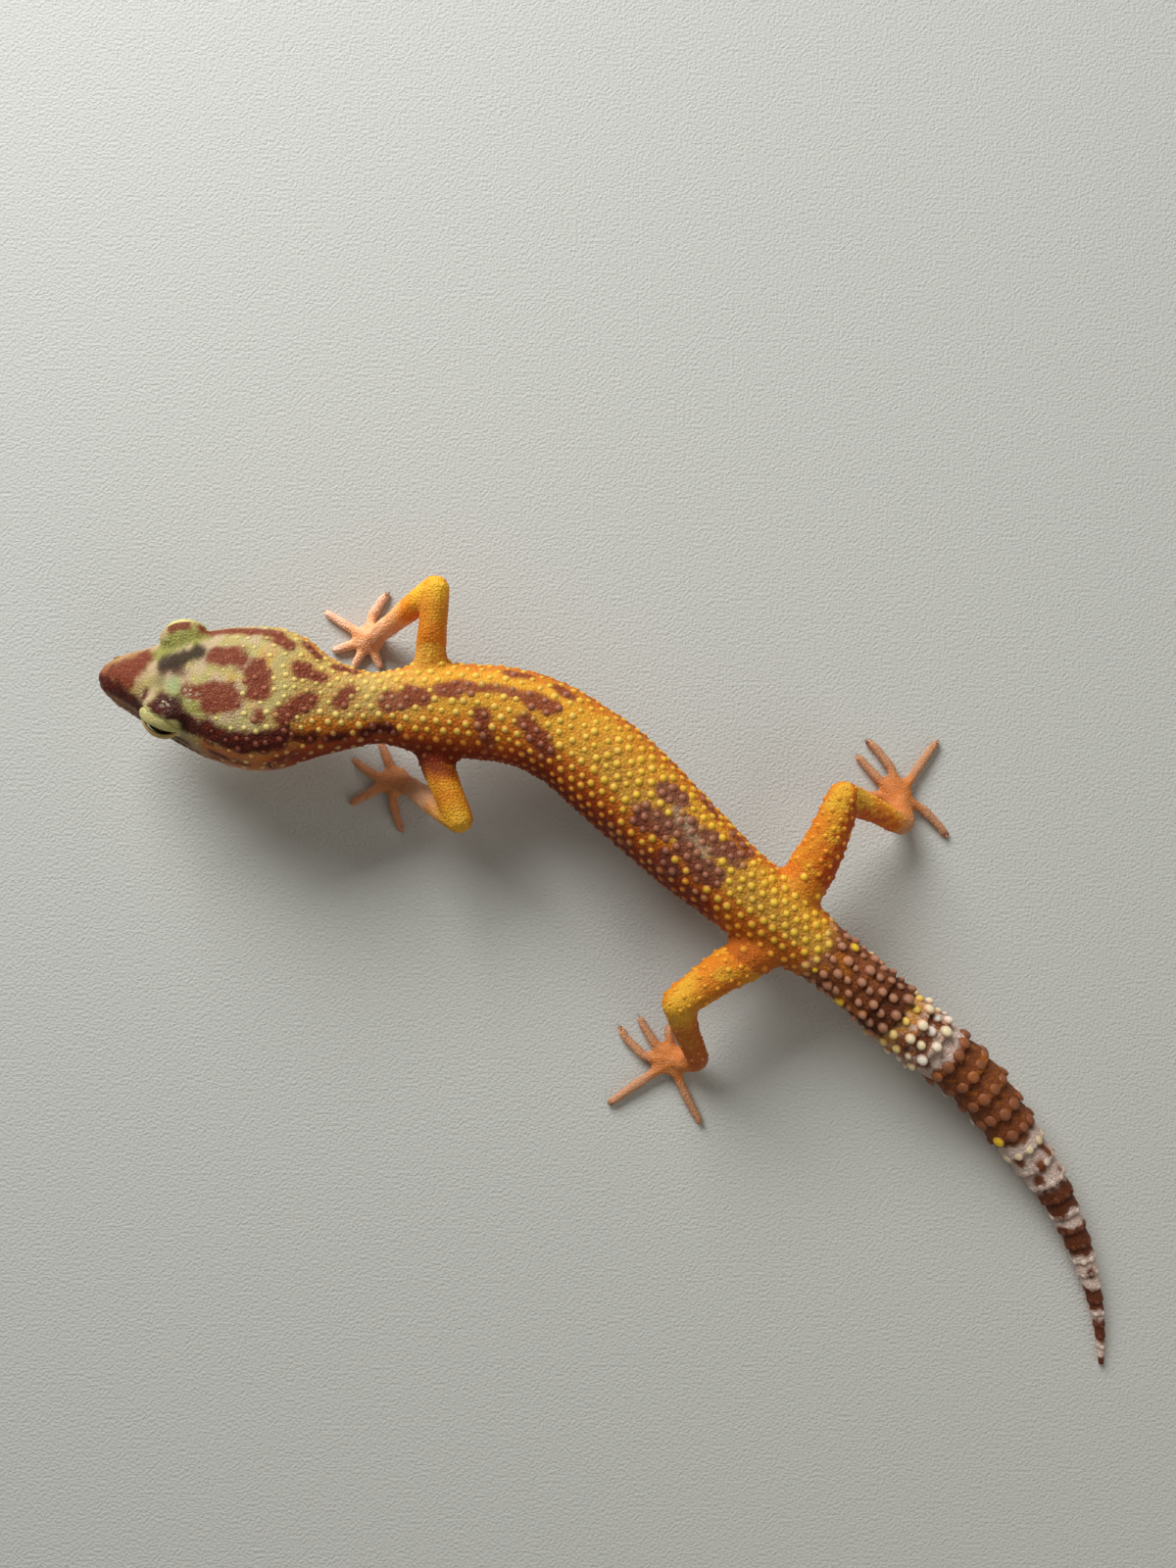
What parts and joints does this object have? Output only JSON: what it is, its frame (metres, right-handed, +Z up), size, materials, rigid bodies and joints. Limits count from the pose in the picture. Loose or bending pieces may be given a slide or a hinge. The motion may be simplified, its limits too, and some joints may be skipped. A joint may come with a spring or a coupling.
{
  "type": "leopard gecko",
  "caption": "Life-size still model of a young leopard gecko standing with its body in a lazy S and its tail on the ground.",
  "frame": {"origin": "on the ground under the middle of the animal's box, as seen from above", "axes": "+Z up, +X from the snout towards the tail, +Y to the animal's right at the head"},
  "size_m": [0.1239, 0.0985, 0.0173],
  "materials": {
    "head_skin": "satin",
    "jaw_skin": "satin",
    "back_skin": "satin",
    "tail_skin": "satin",
    "limb_skin": "satin",
    "foot_skin": "satin",
    "eye": "gloss"
  },
  "bodies": {
    "root": {"head": "head_skin", "lower_jaw": "jaw_skin", "eye_left": "eye", "eye_right": "eye", "neck": "back_skin", "thorax": "back_skin", "abdomen": "back_skin", "pelvis": "back_skin", "tail_base": "tail_skin", "tail_middle": "tail_skin", "tail_tip": "tail_skin", "upper_arm_left": "limb_skin", "upper_arm_right": "limb_skin", "forearm_left": "limb_skin", "forearm_right": "limb_skin", "hand_left": "foot_skin", "hand_right": "foot_skin", "thigh_left": "limb_skin", "thigh_right": "limb_skin", "shin_left": "limb_skin", "shin_right": "limb_skin", "foot_left": "foot_skin", "foot_right": "foot_skin"}
  },
  "joints": []
}
